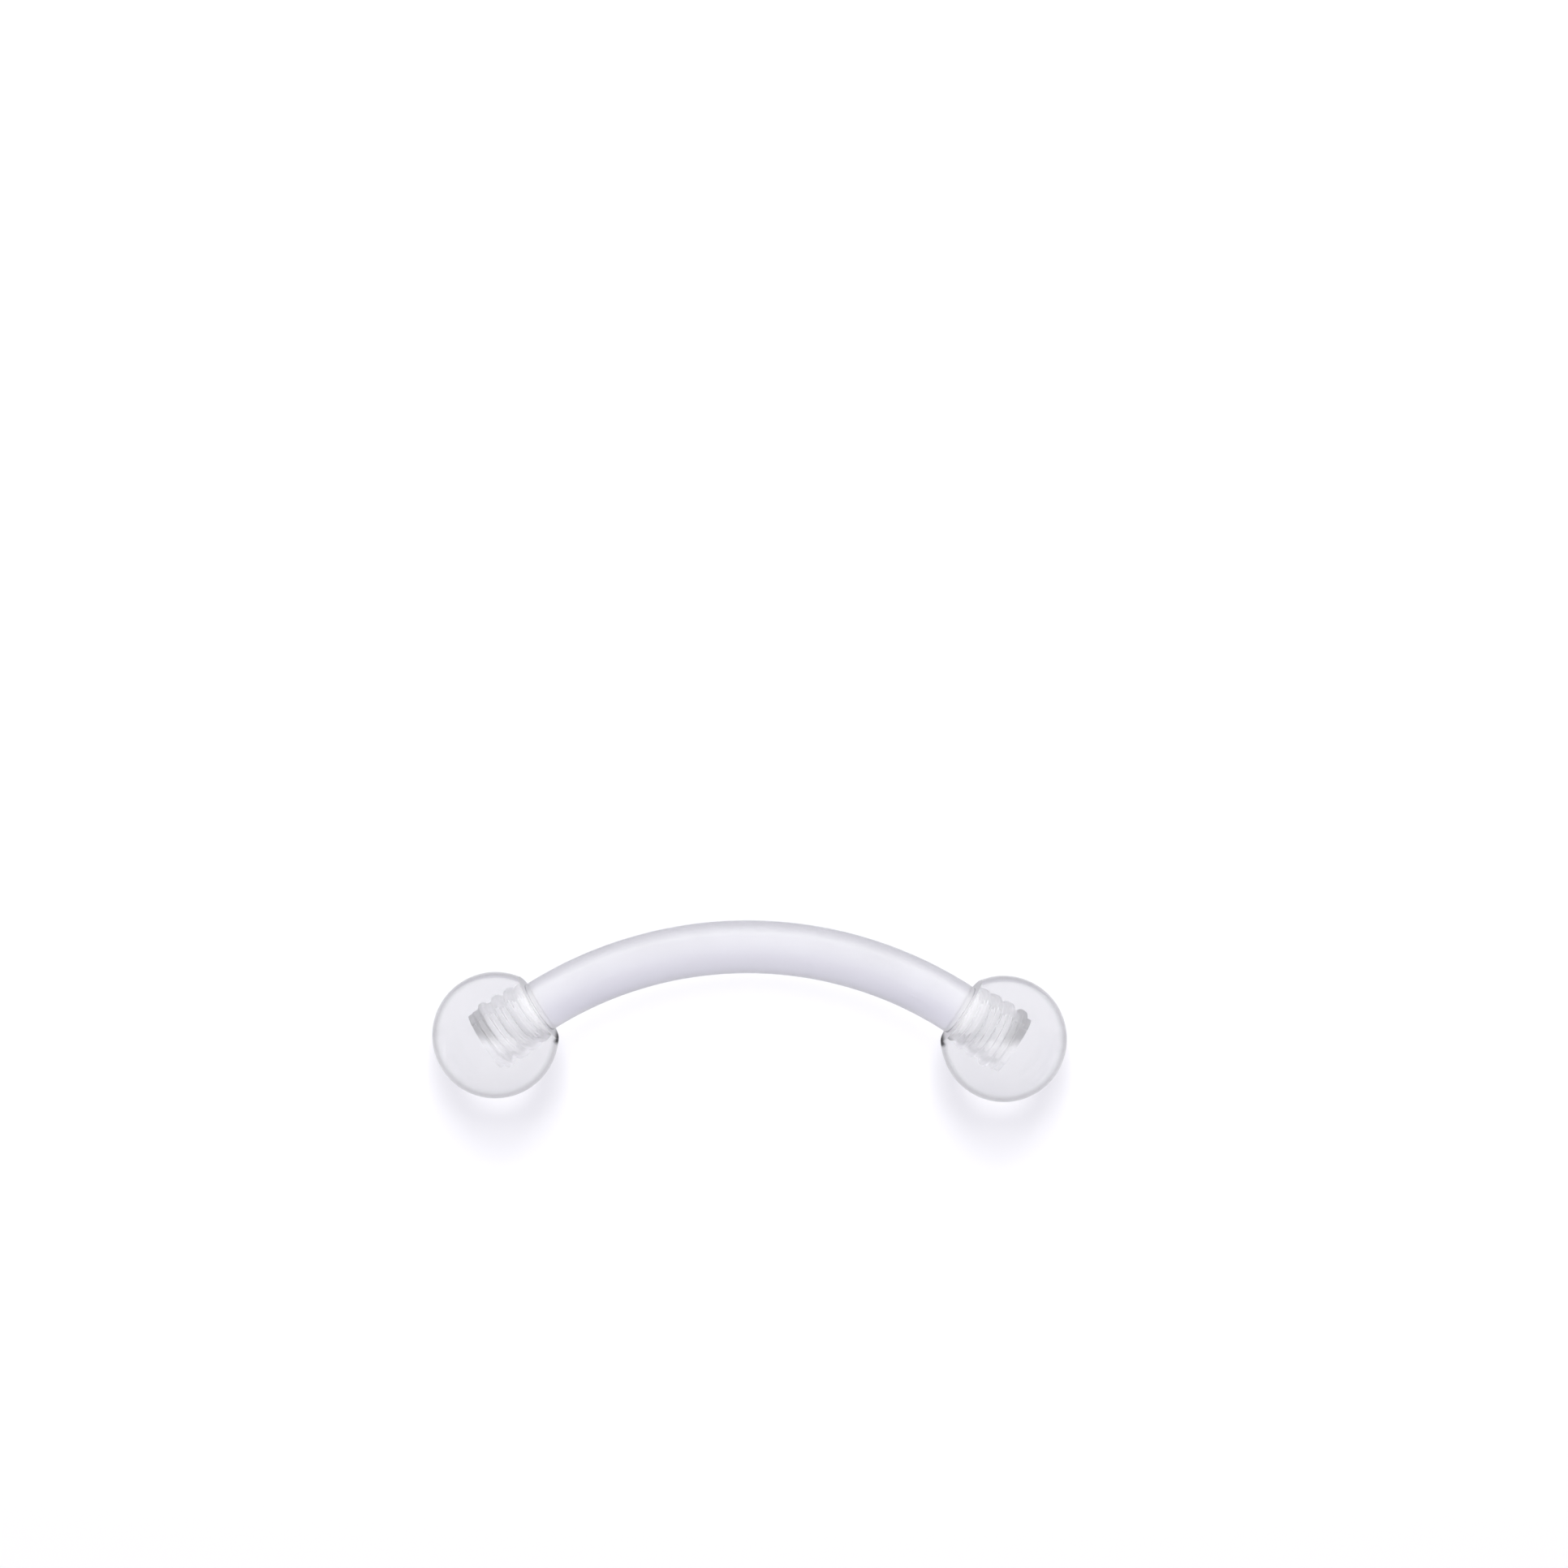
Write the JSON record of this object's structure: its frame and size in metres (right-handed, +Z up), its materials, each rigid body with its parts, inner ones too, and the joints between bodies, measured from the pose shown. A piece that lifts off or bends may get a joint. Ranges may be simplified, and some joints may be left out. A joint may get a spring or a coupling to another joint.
{
  "type": "curved eyebrow barbell",
  "caption": "Curved clear plastic piercing bar with a clear screw-on ball on each threaded end, worn through an eyebrow or similar piercing.",
  "frame": {"origin": "middle of the bounding box at the level of the surface that the barbell lies on", "axes": "+X from the left ball to the right ball; +Y from the balls towards the crown of the arch; +Z up, as the barbell lies on both balls and its crown"},
  "size_m": [0.015, 0.0042, 0.003],
  "materials": {
    "milky_plastic": "smooth, faintly milky clear flexible plastic",
    "clear_plastic": "polished clear plastic"
  },
  "bodies": {
    "bar": {"bar": "milky_plastic"},
    "ball_left": {"ball_left": "clear_plastic"},
    "ball_right": {"ball_right": "clear_plastic"}
  },
  "joints": [
    {"name": "ball_left_unscrew", "type": "slide", "parent": "bar", "child": "ball_left", "axis": [-0.8355, -0.5031, 0.2208], "range_m": [0, 0.003]},
    {"name": "ball_right_unscrew", "type": "slide", "parent": "bar", "child": "ball_right", "axis": [0.8355, -0.5031, 0.2208], "range_m": [0, 0.003]}
  ]
}
